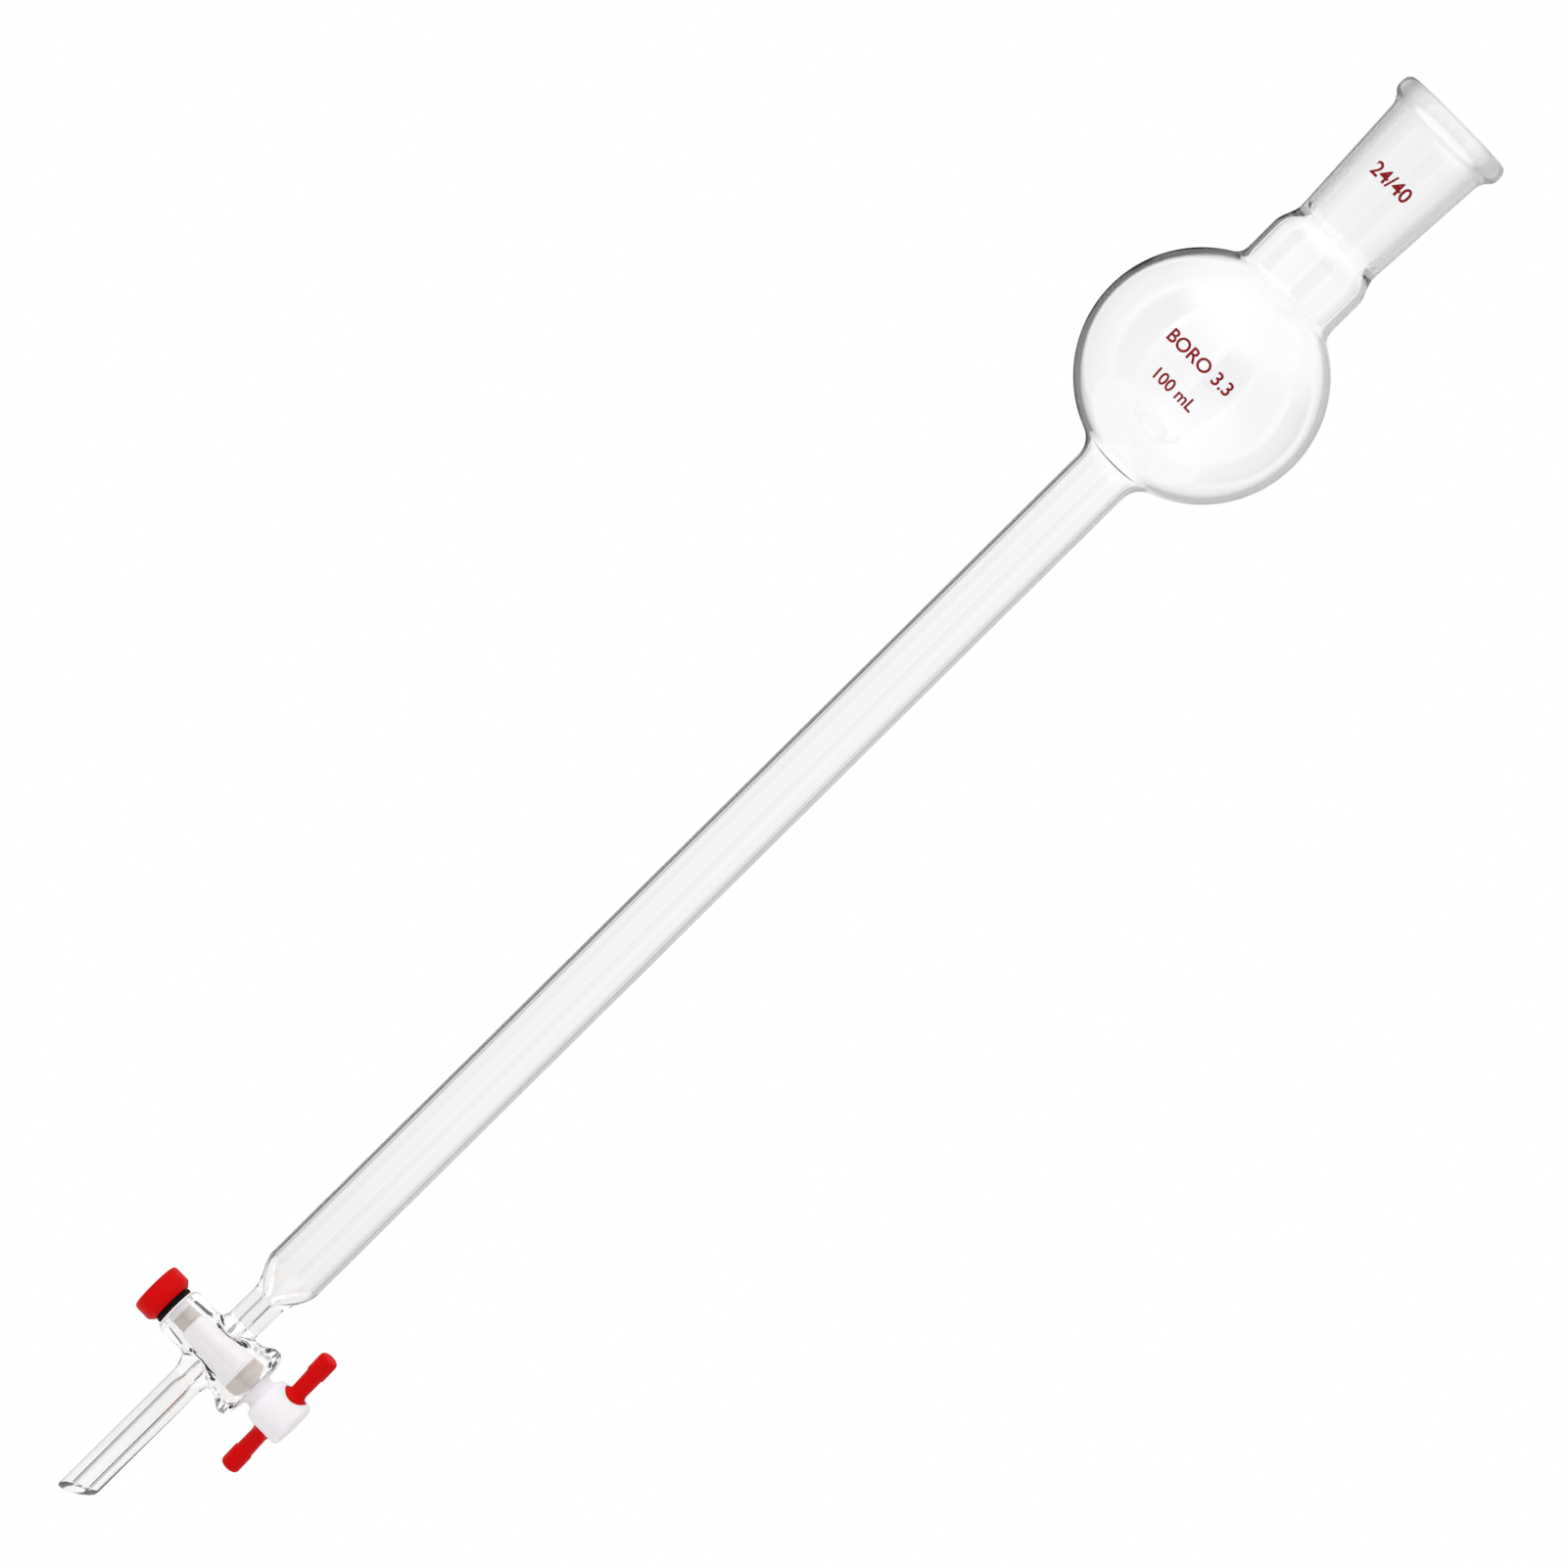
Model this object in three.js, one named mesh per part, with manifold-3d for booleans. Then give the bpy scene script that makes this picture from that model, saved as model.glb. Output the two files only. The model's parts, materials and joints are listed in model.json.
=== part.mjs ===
// A glass chromatography column, in millimetres, +Z up. A ground 24/40 socket and a round
// solvent reservoir stand on a long straight tube. The tube is drawn down into a stopcock barrel
// with a tapered plug, and a slant-cut drip tip hangs below it.
//
// The origin is on the column's axis where a stand's clamp grips the tube. +X is the plug's
// handle side and -X its nut side.

import * as THREE from 'three';
import { mergeVertices } from 'three/addons/utils/BufferGeometryUtils.js';
import Module from 'manifold-3d';

const wasm = await Module();
wasm.setup();

// Heights are measured up from the stopcock's axis.
const CLAMP_HEIGHT = 260;
const RIM_TOP = 433;
const BEAD_BOTTOM = 426;
const SOCKET_BOTTOM = 390.5;
const NECK_TOP = 385;
const BULB_CENTRE = 343.5;
const BULB_BOTTOM = 305;
const TAPER_TOP = 25.5;
const COLUMN_BOTTOM = 18;
const TIP_TOP = -15.5;
const TIP_SLANT_CENTRE = -49;

// Ground socket, standard taper 24/40: the bore narrows 1 mm for each 10 mm of depth.
const SOCKET_BORE_TOP = 12;
const SOCKET_DEPTH = 40;
const SOCKET_TAPER = 1 / 10;
const SOCKET_WALL_TOP = 2.55;
const SOCKET_OUTER_BOTTOM = 12.75;
const RIM_RADIUS = 17.2;

// Reservoir and column, radii and wall thicknesses.
const BULB_RADIUS = 32;
const BULB_WALL = 1.6;
const NECK_RADIUS = 14.75;
const NECK_WALL = 1.8;
const COLUMN_RADIUS = 7.75;
const COLUMN_WALL = 1.4;
const NECK_FILLET = 2.5;
const TUBE_FILLET = 6;

// Side arms, stem and their bores.
const ARM_RADIUS = 4.5;
const STEM_RADIUS = 4.25;
const ARM_BORE = 1.2;
const STEM_BORE = 1.6;
const SLANT_TILT = THREE.MathUtils.degToRad(35);
const SLANT_TURN = THREE.MathUtils.degToRad(-30);

// Stopcock barrel, along X. The plug's taper is 1 mm of diameter for each 5 mm of length.
const BARREL_SMALL_END = -14.2;
const BARREL_LARGE_END = 13.4;
const COLLAR_RADIUS = 6.75;
const BARREL_BEAD_RADIUS = 10.6;
const PLUG_RADIUS_AT_BORE = 4.45;
const PLUG_TAPER = 1 / 10;
const RUNNING_GAP = 0.06;

// Plug, handle and the parts that hold the plug in.
const PLUG_BORE = 1;
const PLUG_TURN = THREE.MathUtils.degToRad(21);
const PLUG_NECK_RADIUS = 4.2;
const HEAD_START = 16.2;
const HEAD_END = 27;
const HEAD_RADIUS = 6.55;
const HANDLE_X = 21.9;
const HANDLE_HALF_LENGTH = 20;
const HANDLE_HUB_RADIUS = 3.25;
const HANDLE_HOLE_RADIUS = 3.35;
const STUB_END = -21.9;
const THREAD_START = -21;
const THREAD_PITCH = 1.5;
const THREAD_ROOT = 2.1;
const THREAD_CREST = 2.8;
const STUB_FLAT = 1.9;
const WASHER_FACES = [-14.7, -14.25];
const WASHER_RADIUS = 6.1;
const O_RING_FACES = [-16.3, -14.75];
const O_RING_RADII = [2.95, 5.45];
const NUT_FACES = [-22.45, -16.35];
const NUT_RADIUS = 7;

const GLASS_SEGMENTS = 32;
const STOPCOCK_SEGMENTS = 32;

const GLASS = { color: 0xe8efee, roughness: 0.04, metalness: 0, transparent: true, opacity: 0.35 };
const PTFE = { color: 0xe4e2ea, roughness: 0.5, metalness: 0 };
const RED_PLASTIC = { color: 0xcd0808, roughness: 0.35, metalness: 0 };
const RUBBER = { color: 0x0b0b0b, roughness: 0.6, metalness: 0 };

// Shape helpers

/** A point of a profile: radius across, distance along the axis. */
function at(radius, along) {
  return new THREE.Vector2(radius, along);
}

/** Points on a smooth bend that leaves one point towards the corner and arrives at the other. */
function bend(from, corner, to, steps = 4) {
  return new THREE.QuadraticBezierCurve(from, corner, to).getPoints(steps);
}

/** Points on an S-shaped run between two radii that leaves and arrives along the axis. */
function drawDown(from, to, steps = 6) {
  const middle = (from.y + to.y) / 2;
  return new THREE.CubicBezierCurve(from, at(from.x, middle), at(to.x, middle), to).getPoints(steps);
}

/** Points on a ball between two angles above its equator. */
function ballArc(radius, centre, startAngle, endAngle, steps) {
  const points = [];
  for (let i = 0; i <= steps; i += 1) {
    const angle = THREE.MathUtils.lerp(startAngle, endAngle, i / steps);
    points.push(at(radius * Math.cos(angle), centre + radius * Math.sin(angle)));
  }
  return points;
}

/** The bulb's profile from the tube below it to the neck above it, with both joins rounded. */
function bulbWall(ballRadius, tubeRadius, tubeFillet, neckRadius, neckFillet) {
  const low = -Math.acos((tubeRadius + tubeFillet) / (ballRadius + tubeFillet));
  const high = Math.acos((neckRadius + neckFillet) / (ballRadius + neckFillet));
  const lowCentre = BULB_CENTRE + (ballRadius + tubeFillet) * Math.sin(low);
  const highCentre = BULB_CENTRE + (ballRadius + neckFillet) * Math.sin(high);
  const lowBend = ballArc(tubeFillet, 0, 0, -low, 3).map((p) => {
    return at(tubeRadius + tubeFillet - p.x, lowCentre + p.y);
  });
  const highBend = ballArc(neckFillet, 0, -high, 0, 3).map((p) => {
    return at(neckRadius + neckFillet - p.x, highCentre + p.y);
  });
  const lowerBall = ballArc(ballRadius, BULB_CENTRE, low, 0, 6).slice(1);
  const upperBall = ballArc(ballRadius, BULB_CENTRE, 0, high, 5).slice(1, -1);
  return [...lowBend, ...lowerBall, ...upperBall, ...highBend];
}

/** A body of revolution about Z from a closed profile, listed outer wall first, upwards. */
function revolve(profile, segments) {
  const closed = [...profile, profile[0]];
  return new THREE.LatheGeometry(closed, segments).rotateX(Math.PI / 2);
}

/** A body of revolution about X, for profiles whose distances run along X. */
function revolveAlongX(profile, segments) {
  return revolve(profile, segments).rotateY(Math.PI / 2);
}

/** A closed solid for joining and cutting. */
function solid(geometry) {
  const bare = geometry.clone();
  bare.deleteAttribute('normal');
  bare.deleteAttribute('uv');
  const welded = mergeVertices(bare, 1e-4);
  const corners = welded.index.array;
  const triangles = [];
  for (let i = 0; i < corners.length; i += 3) {
    const [a, b, c] = [corners[i], corners[i + 1], corners[i + 2]];
    if (a !== b && b !== c && c !== a) {
      triangles.push(a, b, c);
    }
  }
  return new wasm.Manifold(new wasm.Mesh({
    numProp: 3,
    vertProperties: Float32Array.from(welded.attributes.position.array),
    triVerts: Uint32Array.from(triangles),
  }));
}

/** The surface of a joined or cut solid, as three.js geometry. */
function surface(manifold) {
  const mesh = manifold.getMesh();
  const geometry = new THREE.BufferGeometry();
  geometry.setAttribute('position', new THREE.BufferAttribute(mesh.vertProperties, 3));
  geometry.setIndex(new THREE.BufferAttribute(mesh.triVerts, 1));
  geometry.computeVertexNormals();
  return geometry;
}

/** A straight rod along Z between two heights. */
function rod(radius, bottom, top, segments) {
  return revolve([at(0, bottom), at(radius, bottom), at(radius, top), at(0, top)], segments);
}

/**
 * A right-hand helical ridge about X, with a trapezoid section. Its root sits inside the core
 * that it is joined to or cut from.
 */
function threadRidge(rootRadius, crestRadius, rootWidth, crestWidth, start, end) {
  const stepsPerTurn = 16;
  const turns = (end - start) / THREAD_PITCH;
  const steps = Math.round(turns * stepsPerTurn);
  const section = [
    [rootRadius, -rootWidth / 2],
    [rootRadius, rootWidth / 2],
    [crestRadius, crestWidth / 2],
    [crestRadius, -crestWidth / 2],
  ];
  const positions = [];
  const triangles = [];
  for (let i = 0; i <= steps; i += 1) {
    const angle = (2 * Math.PI * i) / stepsPerTurn;
    const along = start + (THREAD_PITCH * i) / stepsPerTurn;
    for (const [radius, offset] of section) {
      positions.push(along + offset, radius * Math.cos(angle), radius * Math.sin(angle));
    }
  }
  for (let i = 0; i < steps; i += 1) {
    for (let side = 0; side < 4; side += 1) {
      const a = 4 * i + side;
      const b = 4 * i + ((side + 1) % 4);
      triangles.push(a, b, a + 4, b, b + 4, a + 4);
    }
  }
  const last = 4 * steps;
  triangles.push(0, 3, 1, 1, 3, 2);
  triangles.push(last, last + 1, last + 3, last + 1, last + 2, last + 3);
  const geometry = new THREE.BufferGeometry();
  geometry.setAttribute('position', new THREE.Float32BufferAttribute(positions, 3));
  geometry.setIndex(triangles);
  return geometry;
}

/** A named piece of the object, of one material. */
function piece(name, geometry, look) {
  const mesh = new THREE.Mesh(geometry, new THREE.MeshStandardMaterial(look));
  mesh.name = name;
  return mesh;
}

// Glass

/** The ground socket: a slightly tapered tube with a thick rounded rim. */
function socketJoint() {
  const boreBottom = SOCKET_BORE_TOP - SOCKET_DEPTH * SOCKET_TAPER / 2;
  const outerTop = SOCKET_BORE_TOP + SOCKET_WALL_TOP;
  const rimEdge = 1.6;
  const rimCurve = RIM_RADIUS - rimEdge;
  const outside = [
    at(SOCKET_OUTER_BOTTOM, SOCKET_BOTTOM),
    at(outerTop, BEAD_BOTTOM - 1),
    ...bend(at(rimCurve, BEAD_BOTTOM), at(RIM_RADIUS, BEAD_BOTTOM), at(RIM_RADIUS, BEAD_BOTTOM + rimEdge)),
    ...bend(at(RIM_RADIUS, RIM_TOP - rimEdge), at(RIM_RADIUS, RIM_TOP), at(rimCurve, RIM_TOP)),
  ];
  const inside = [
    at(SOCKET_BORE_TOP, RIM_TOP),
    at(boreBottom, RIM_TOP - SOCKET_DEPTH),
    at(boreBottom, SOCKET_BOTTOM),
  ];
  return piece('socket_joint', revolve([...outside, ...inside], GLASS_SEGMENTS), GLASS);
}

/** The round solvent reservoir, with the neck that carries the socket. */
function reservoirBulb() {
  const innerNeck = NECK_RADIUS - NECK_WALL;
  const innerColumn = COLUMN_RADIUS - COLUMN_WALL;
  const boreBottom = SOCKET_BORE_TOP - SOCKET_DEPTH * SOCKET_TAPER / 2;
  const neckEdge = at(NECK_RADIUS, SOCKET_BOTTOM - 2);
  const outside = [
    at(COLUMN_RADIUS, BULB_BOTTOM),
    ...bulbWall(BULB_RADIUS, COLUMN_RADIUS, TUBE_FILLET, NECK_RADIUS, NECK_FILLET),
    ...bend(at(NECK_RADIUS, NECK_TOP), neckEdge, at(SOCKET_OUTER_BOTTOM, SOCKET_BOTTOM)),
  ];
  const inside = [
    at(innerColumn, BULB_BOTTOM),
    ...bulbWall(
      BULB_RADIUS - BULB_WALL,
      innerColumn,
      TUBE_FILLET + COLUMN_WALL,
      innerNeck,
      NECK_FILLET + NECK_WALL,
    ),
    ...drawDown(at(innerNeck, NECK_TOP - 1), at(boreBottom, SOCKET_BOTTOM), 4),
  ];
  return piece('reservoir_bulb', revolve([...outside, ...inside.reverse()], GLASS_SEGMENTS), GLASS);
}

/** The straight tube, drawn down at its lower end to the stopcock's inlet arm. */
function columnTube() {
  const outside = drawDown(at(ARM_RADIUS, COLUMN_BOTTOM), at(COLUMN_RADIUS, TAPER_TOP));
  const inside = drawDown(at(ARM_BORE, COLUMN_BOTTOM), at(COLUMN_RADIUS - COLUMN_WALL, TAPER_TOP + 1.5));
  const profile = [
    ...outside,
    at(COLUMN_RADIUS, BULB_BOTTOM),
    at(COLUMN_RADIUS - COLUMN_WALL, BULB_BOTTOM),
    ...inside.reverse(),
  ];
  return piece('column_tube', revolve(profile, GLASS_SEGMENTS), GLASS);
}

/** The outside of the barrel: a collar, a cone that follows the bore and a fire-polished bead. */
function barrelOutside() {
  const coneStart = at(COLLAR_RADIUS - 0.15, -8);
  const coneEnd = at(8.4, 6.5);
  const beadTop = at(BARREL_BEAD_RADIUS, 11.2);
  const endFace = at(8, BARREL_LARGE_END);
  const collarEdge = 0.7;
  const profile = [
    at(0, BARREL_SMALL_END),
    at(COLLAR_RADIUS - collarEdge, BARREL_SMALL_END),
    at(COLLAR_RADIUS, BARREL_SMALL_END + collarEdge),
    at(COLLAR_RADIUS, -8.8),
    coneStart,
    coneEnd,
    ...bend(at(8.7, 7.6), at(BARREL_BEAD_RADIUS, 9.2), beadTop),
    ...bend(beadTop, at(BARREL_BEAD_RADIUS - 0.6, 12.6), endFace).slice(1),
    at(0, BARREL_LARGE_END),
  ];
  return solid(revolveAlongX(profile, STOPCOCK_SEGMENTS));
}

/** The tapered bore of the barrel, a running gap wider than the plug, and past both end faces. */
function taperBore() {
  const radiusAt = (x) => PLUG_RADIUS_AT_BORE + RUNNING_GAP + x * PLUG_TAPER;
  const [start, end] = [BARREL_SMALL_END - 1, BARREL_LARGE_END + 1];
  const profile = [at(0, start), at(radiusAt(start), start), at(radiusAt(end), end), at(0, end)];
  return solid(revolveAlongX(profile, STOPCOCK_SEGMENTS));
}

/** The barrel with its inlet arm above and its outlet arm below, flared where they meet it. */
function stopcockBarrel() {
  const armRoot = 7.4;
  const inletArm = [
    at(armRoot, 5),
    ...drawDown(at(armRoot, 6), at(ARM_RADIUS, 12.5), 6),
    at(ARM_RADIUS, COLUMN_BOTTOM),
    at(0, COLUMN_BOTTOM),
    at(0, 5),
  ];
  const outletArm = [
    at(0, TIP_TOP),
    at(STEM_RADIUS, TIP_TOP),
    ...drawDown(at(STEM_RADIUS, -12.5), at(armRoot, -6), 6),
    at(armRoot, -5),
    at(0, -5),
  ];
  const armTaperTop = -10;
  const bores = [
    solid(rod(ARM_BORE, 0, COLUMN_BOTTOM + 1, 24)),
    solid(rod(ARM_BORE, armTaperTop - 1, 0, 24)),
    solid(rod(STEM_BORE, TIP_TOP - 1, armTaperTop, 24)),
  ];
  let barrel = barrelOutside()
    .add(solid(revolve(inletArm, STOPCOCK_SEGMENTS)))
    .add(solid(revolve(outletArm, STOPCOCK_SEGMENTS)))
    .subtract(taperBore());
  for (const bore of bores) {
    barrel = barrel.subtract(bore);
  }
  return piece('stopcock_barrel', surface(barrel), GLASS);
}

/** The stem below the stopcock, cut on a slant so that the last drop runs to one side. */
function dripTip() {
  const bottom = TIP_SLANT_CENTRE - 8;
  const profile = [
    at(STEM_BORE, bottom),
    at(STEM_RADIUS, bottom),
    at(STEM_RADIUS, TIP_TOP),
    at(STEM_BORE, TIP_TOP),
  ];
  const cutterSize = 40;
  const cutter = new THREE.BoxGeometry(cutterSize, cutterSize, cutterSize)
    .translate(0, 0, -cutterSize / 2)
    .rotateY(-SLANT_TILT)
    .rotateZ(SLANT_TURN)
    .translate(0, 0, TIP_SLANT_CENTRE);
  const tip = solid(revolve(profile, GLASS_SEGMENTS)).subtract(solid(cutter));
  return piece('drip_tip', surface(tip), GLASS);
}

// Stopcock plug and its fittings

/** Cuts a flat along the threaded stub, so that the washer turns with the plug. */
function stubFlatCutter() {
  const length = 12;
  const size = 10;
  const block = new THREE.BoxGeometry(length, size, size);
  return solid(block.translate(WASHER_FACES[1] - length / 2, 0, STUB_FLAT + size / 2));
}

/** The tapered plug, with its cross bore, round head, handle hole and threaded stub. */
function stopcockPlug() {
  const radiusAt = (x) => PLUG_RADIUS_AT_BORE + x * PLUG_TAPER;
  const shoulder = WASHER_FACES[1] + 0.05;
  const threadEnd = -15.2;
  const neckStart = at(PLUG_NECK_RADIUS + 0.5, BARREL_LARGE_END + 0.1);
  const headRoot = at(PLUG_NECK_RADIUS + 0.5, HEAD_START);
  const headEdge = 1.6;
  const headRim = at(HEAD_RADIUS - headEdge, HEAD_END);
  const body = [
    at(0, STUB_END),
    at(THREAD_ROOT - 0.3, STUB_END),
    at(THREAD_ROOT, STUB_END + 0.3),
    at(THREAD_ROOT, -16),
    at(THREAD_CREST, -15.4),
    at(THREAD_CREST, shoulder),
    at(radiusAt(shoulder), shoulder),
    at(radiusAt(BARREL_LARGE_END), BARREL_LARGE_END),
    ...bend(neckStart, at(PLUG_NECK_RADIUS - 0.4, 14.8), at(PLUG_NECK_RADIUS + 0.4, HEAD_START)),
    ...bend(headRoot, at(HEAD_RADIUS, HEAD_START), at(HEAD_RADIUS, HEAD_START + 3)),
    ...bend(at(HEAD_RADIUS, HEAD_END - headEdge), at(HEAD_RADIUS, HEAD_END), headRim),
    at(0, HEAD_END),
  ];
  const ridge = threadRidge(THREAD_ROOT - 0.3, THREAD_CREST, 1.26, 0.4, THREAD_START, threadEnd);
  const pastPlug = PLUG_RADIUS_AT_BORE + 1;
  const pastHead = HEAD_RADIUS + 1;
  const crossBore = rod(PLUG_BORE, -pastPlug, pastPlug, 20);
  const handleHole = rod(HANDLE_HOLE_RADIUS, -pastHead, pastHead, 24).translate(HANDLE_X, 0, 0);
  const plug = solid(revolveAlongX(body, STOPCOCK_SEGMENTS))
    .add(solid(ridge))
    .subtract(solid(crossBore))
    .subtract(solid(handleHole))
    .subtract(stubFlatCutter());
  return piece('stopcock_plug', surface(plug), PTFE);
}

/** The T handle: a bar with a thick hub in the head, a waist at each side and rounded grips. */
function handleBar() {
  const waist = 9.5;
  const step = 14;
  const upperHalf = [
    at(HANDLE_HUB_RADIUS, HEAD_RADIUS - 1),
    ...bend(at(HANDLE_HUB_RADIUS, HEAD_RADIUS - 0.3), at(2.2, HEAD_RADIUS + 0.6), at(2.15, waist), 3),
    at(2.35, step),
    at(2.6, step + 0.5),
    ...bend(at(2.6, HANDLE_HALF_LENGTH - 2), at(2.6, HANDLE_HALF_LENGTH), at(0, HANDLE_HALF_LENGTH), 4),
  ];
  const lowerHalf = upperHalf.map((p) => at(p.x, -p.y)).reverse();
  const geometry = revolve([...lowerHalf, ...upperHalf], 24).translate(HANDLE_X, 0, 0);
  return piece('handle_bar', geometry, RED_PLASTIC);
}

/** The flat washer with a D-shaped hole that fits the flatted stub. */
function plugWasher() {
  const [start, end] = WASHER_FACES;
  const disc = [at(0, start), at(WASHER_RADIUS, start), at(WASHER_RADIUS, end), at(0, end)];
  const holeGap = 0.15;
  const holeRadius = THREAD_CREST + holeGap;
  const hole = [at(0, start - 1), at(holeRadius, start - 1), at(holeRadius, end + 1), at(0, end + 1)];
  const size = 10;
  const flat = new THREE.BoxGeometry(size, size, size).translate(start, 0, STUB_FLAT + holeGap + size / 2);
  const opening = solid(revolveAlongX(hole, 32)).subtract(solid(flat));
  const washer = solid(revolveAlongX(disc, STOPCOCK_SEGMENTS)).subtract(opening);
  return piece('plug_washer', surface(washer), PTFE);
}

/** The rubber ring, squeezed to an oval section between the washer and the nut. */
function oRing() {
  const [inner, outer] = O_RING_RADII;
  const [start, end] = O_RING_FACES;
  const steps = 10;
  const section = [];
  for (let i = 0; i < steps; i += 1) {
    const angle = (2 * Math.PI * i) / steps;
    const radius = (inner + outer) / 2 + ((outer - inner) / 2) * Math.cos(angle);
    section.push(at(radius, (start + end) / 2 + ((end - start) / 2) * Math.sin(angle)));
  }
  return piece('o_ring', revolveAlongX(section, 30), RUBBER);
}

/** The nut that draws the plug into its taper: a short bevelled drum with an inside thread. */
function retainingNut() {
  const [start, end] = NUT_FACES;
  const coreRadius = THREAD_ROOT + 0.2;
  const drum = [
    at(0, start),
    ...bend(at(NUT_RADIUS - 0.9, start), at(NUT_RADIUS - 0.1, start), at(NUT_RADIUS, start + 0.9), 3),
    at(NUT_RADIUS, end - 1.3),
    at(NUT_RADIUS - 1.1, end),
    at(0, end),
  ];
  const mouth = THREAD_CREST + 0.3;
  const hole = [
    at(0, start - 1),
    at(mouth + 1, start - 1),
    at(coreRadius, start + 0.8),
    at(coreRadius, end - 0.8),
    at(mouth, end),
    at(mouth, end + 1),
    at(0, end + 1),
  ];
  const grooveStart = THREAD_START - 2 * THREAD_PITCH;
  const groove = threadRidge(THREAD_ROOT, THREAD_CREST + 0.2, 1.3, 0.7, grooveStart, end + THREAD_PITCH);
  const nut = solid(revolveAlongX(drum, STOPCOCK_SEGMENTS))
    .subtract(solid(revolveAlongX(hole, STOPCOCK_SEGMENTS)))
    .subtract(solid(groove));
  return piece('retaining_nut', surface(nut), RED_PLASTIC);
}

// Assembly

const glass = new THREE.Group();
glass.add(socketJoint(), reservoirBulb(), columnTube(), stopcockBarrel(), dripTip());

const plugGroup = new THREE.Group();
plugGroup.add(stopcockPlug(), handleBar(), plugWasher(), oRing(), retainingNut());
plugGroup.rotation.x = PLUG_TURN;

const column = new THREE.Group();
column.add(glass, plugGroup);
column.position.z = -CLAMP_HEIGHT;

export default column;
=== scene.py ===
"""A glass chromatography column: ground socket, solvent reservoir, long tube and stopcock."""

import json
import math

import bmesh
import bpy
from mathutils import Matrix, Vector


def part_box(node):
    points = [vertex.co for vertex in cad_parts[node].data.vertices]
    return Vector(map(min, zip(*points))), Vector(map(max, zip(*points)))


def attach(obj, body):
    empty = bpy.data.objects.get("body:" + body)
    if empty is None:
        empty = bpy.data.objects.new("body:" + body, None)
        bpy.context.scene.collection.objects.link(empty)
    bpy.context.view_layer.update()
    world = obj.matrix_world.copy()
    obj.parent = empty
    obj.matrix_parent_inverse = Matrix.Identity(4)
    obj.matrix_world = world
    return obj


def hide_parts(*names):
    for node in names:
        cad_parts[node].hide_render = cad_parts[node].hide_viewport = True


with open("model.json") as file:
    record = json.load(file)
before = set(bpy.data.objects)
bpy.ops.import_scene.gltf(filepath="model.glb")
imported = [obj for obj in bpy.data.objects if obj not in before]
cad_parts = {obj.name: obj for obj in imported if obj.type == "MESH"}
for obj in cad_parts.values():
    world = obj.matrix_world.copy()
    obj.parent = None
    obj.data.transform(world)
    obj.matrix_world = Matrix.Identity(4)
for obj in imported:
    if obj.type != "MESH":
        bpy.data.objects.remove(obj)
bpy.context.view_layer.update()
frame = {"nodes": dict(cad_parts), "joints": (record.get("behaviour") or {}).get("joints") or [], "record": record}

# Everything is modelled in millimetres, with heights measured from the stopcock's axis, and is
# scaled to metres and lifted to its place in the frame when the piece is finished.
MM = 0.001
PLUG_TURN_JOINT = next(j for j in frame["joints"] if j["name"] == "plug_turn")
STOPCOCK_HEIGHT = PLUG_TURN_JOINT["pos_m"][2]


def cad(node):
    """The lowest and highest corner of a CAD node, in millimetres from the stopcock's axis."""
    lift = Vector((0, 0, STOPCOCK_HEIGHT))
    low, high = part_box(node)
    return (low - lift) / MM, (high - lift) / MM


def opening_centre(name):
    """The middle height of one of the record's openings, in millimetres from the stopcock's axis."""
    opening = next(o for o in frame["record"]["physics"]["openings"] if o["name"] == name)
    low, high = opening["box_m"]
    return ((low[2] + high[2]) / 2 - STOPCOCK_HEIGHT) / MM


# Sizes read from the frame.
RIM_TOP = cad("socket_joint")[1].z
RIM_RADIUS = cad("socket_joint")[1].x
SOCKET_BOTTOM = cad("socket_joint")[0].z
BULB_CENTRE = opening_centre("reservoir_inside")
BULB_RADIUS = cad("reservoir_bulb")[1].x
TUBE_RADIUS = cad("column_tube")[1].x
STEM_RADIUS = cad("drip_tip")[1].x
TIP_BOTTOM = cad("drip_tip")[0].z
BARREL_LEFT = cad("stopcock_barrel")[0].x
BARREL_RIGHT = cad("stopcock_barrel")[1].x
BEAD_RADIUS = cad("stopcock_barrel")[1].y
STUB_END = cad("stopcock_plug")[0].x
HEAD_END = cad("stopcock_plug")[1].x
HANDLE_X = (cad("handle_bar")[0].x + cad("handle_bar")[1].x) / 2
WASHER_LEFT, WASHER_RIGHT = cad("plug_washer")[0].x, cad("plug_washer")[1].x
RING_LEFT, RING_RIGHT = cad("o_ring")[0].x, cad("o_ring")[1].x
NUT_LEFT, NUT_RIGHT = cad("retaining_nut")[0].x, cad("retaining_nut")[1].x

# Glass walls and bores.
SOCKET_BORE_TOP = 12.0
SOCKET_DEPTH = 40.0
SOCKET_DEPTH_PER_RADIUS = 20
SOCKET_BORE_BOTTOM = SOCKET_BORE_TOP - SOCKET_DEPTH / SOCKET_DEPTH_PER_RADIUS
SOCKET_OUTER_TOP = 14.55
SOCKET_OUTER_BOTTOM = 12.75
BEAD_HEIGHT = 7.0
BEAD_PEAK = 3.2
NECK_RADIUS = 14.75
NECK_WALL = 1.8
BULB_WALL = 1.6
TUBE_WALL = 1.4
TUBE_FILLET = 6.0
NECK_FILLET = 4.0
ARM_RADIUS = 4.5
ARM_BORE = 1.2
STEM_BORE = 1.6
TAPER_TOP = 27.0
TAPER_BOTTOM = 17.3
COLLAR_RADIUS = 6.75
WELD_REACH = 15.0
WELD_INSET = 0.004
SLANT_TILT = math.radians(35)
SLANT_TURN = math.radians(-30)
SLANT_HEIGHT = -49.0
TIP_POLISH = 0.3
GLASS_STEPS = 160
BARREL_STEPS = 128

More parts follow.
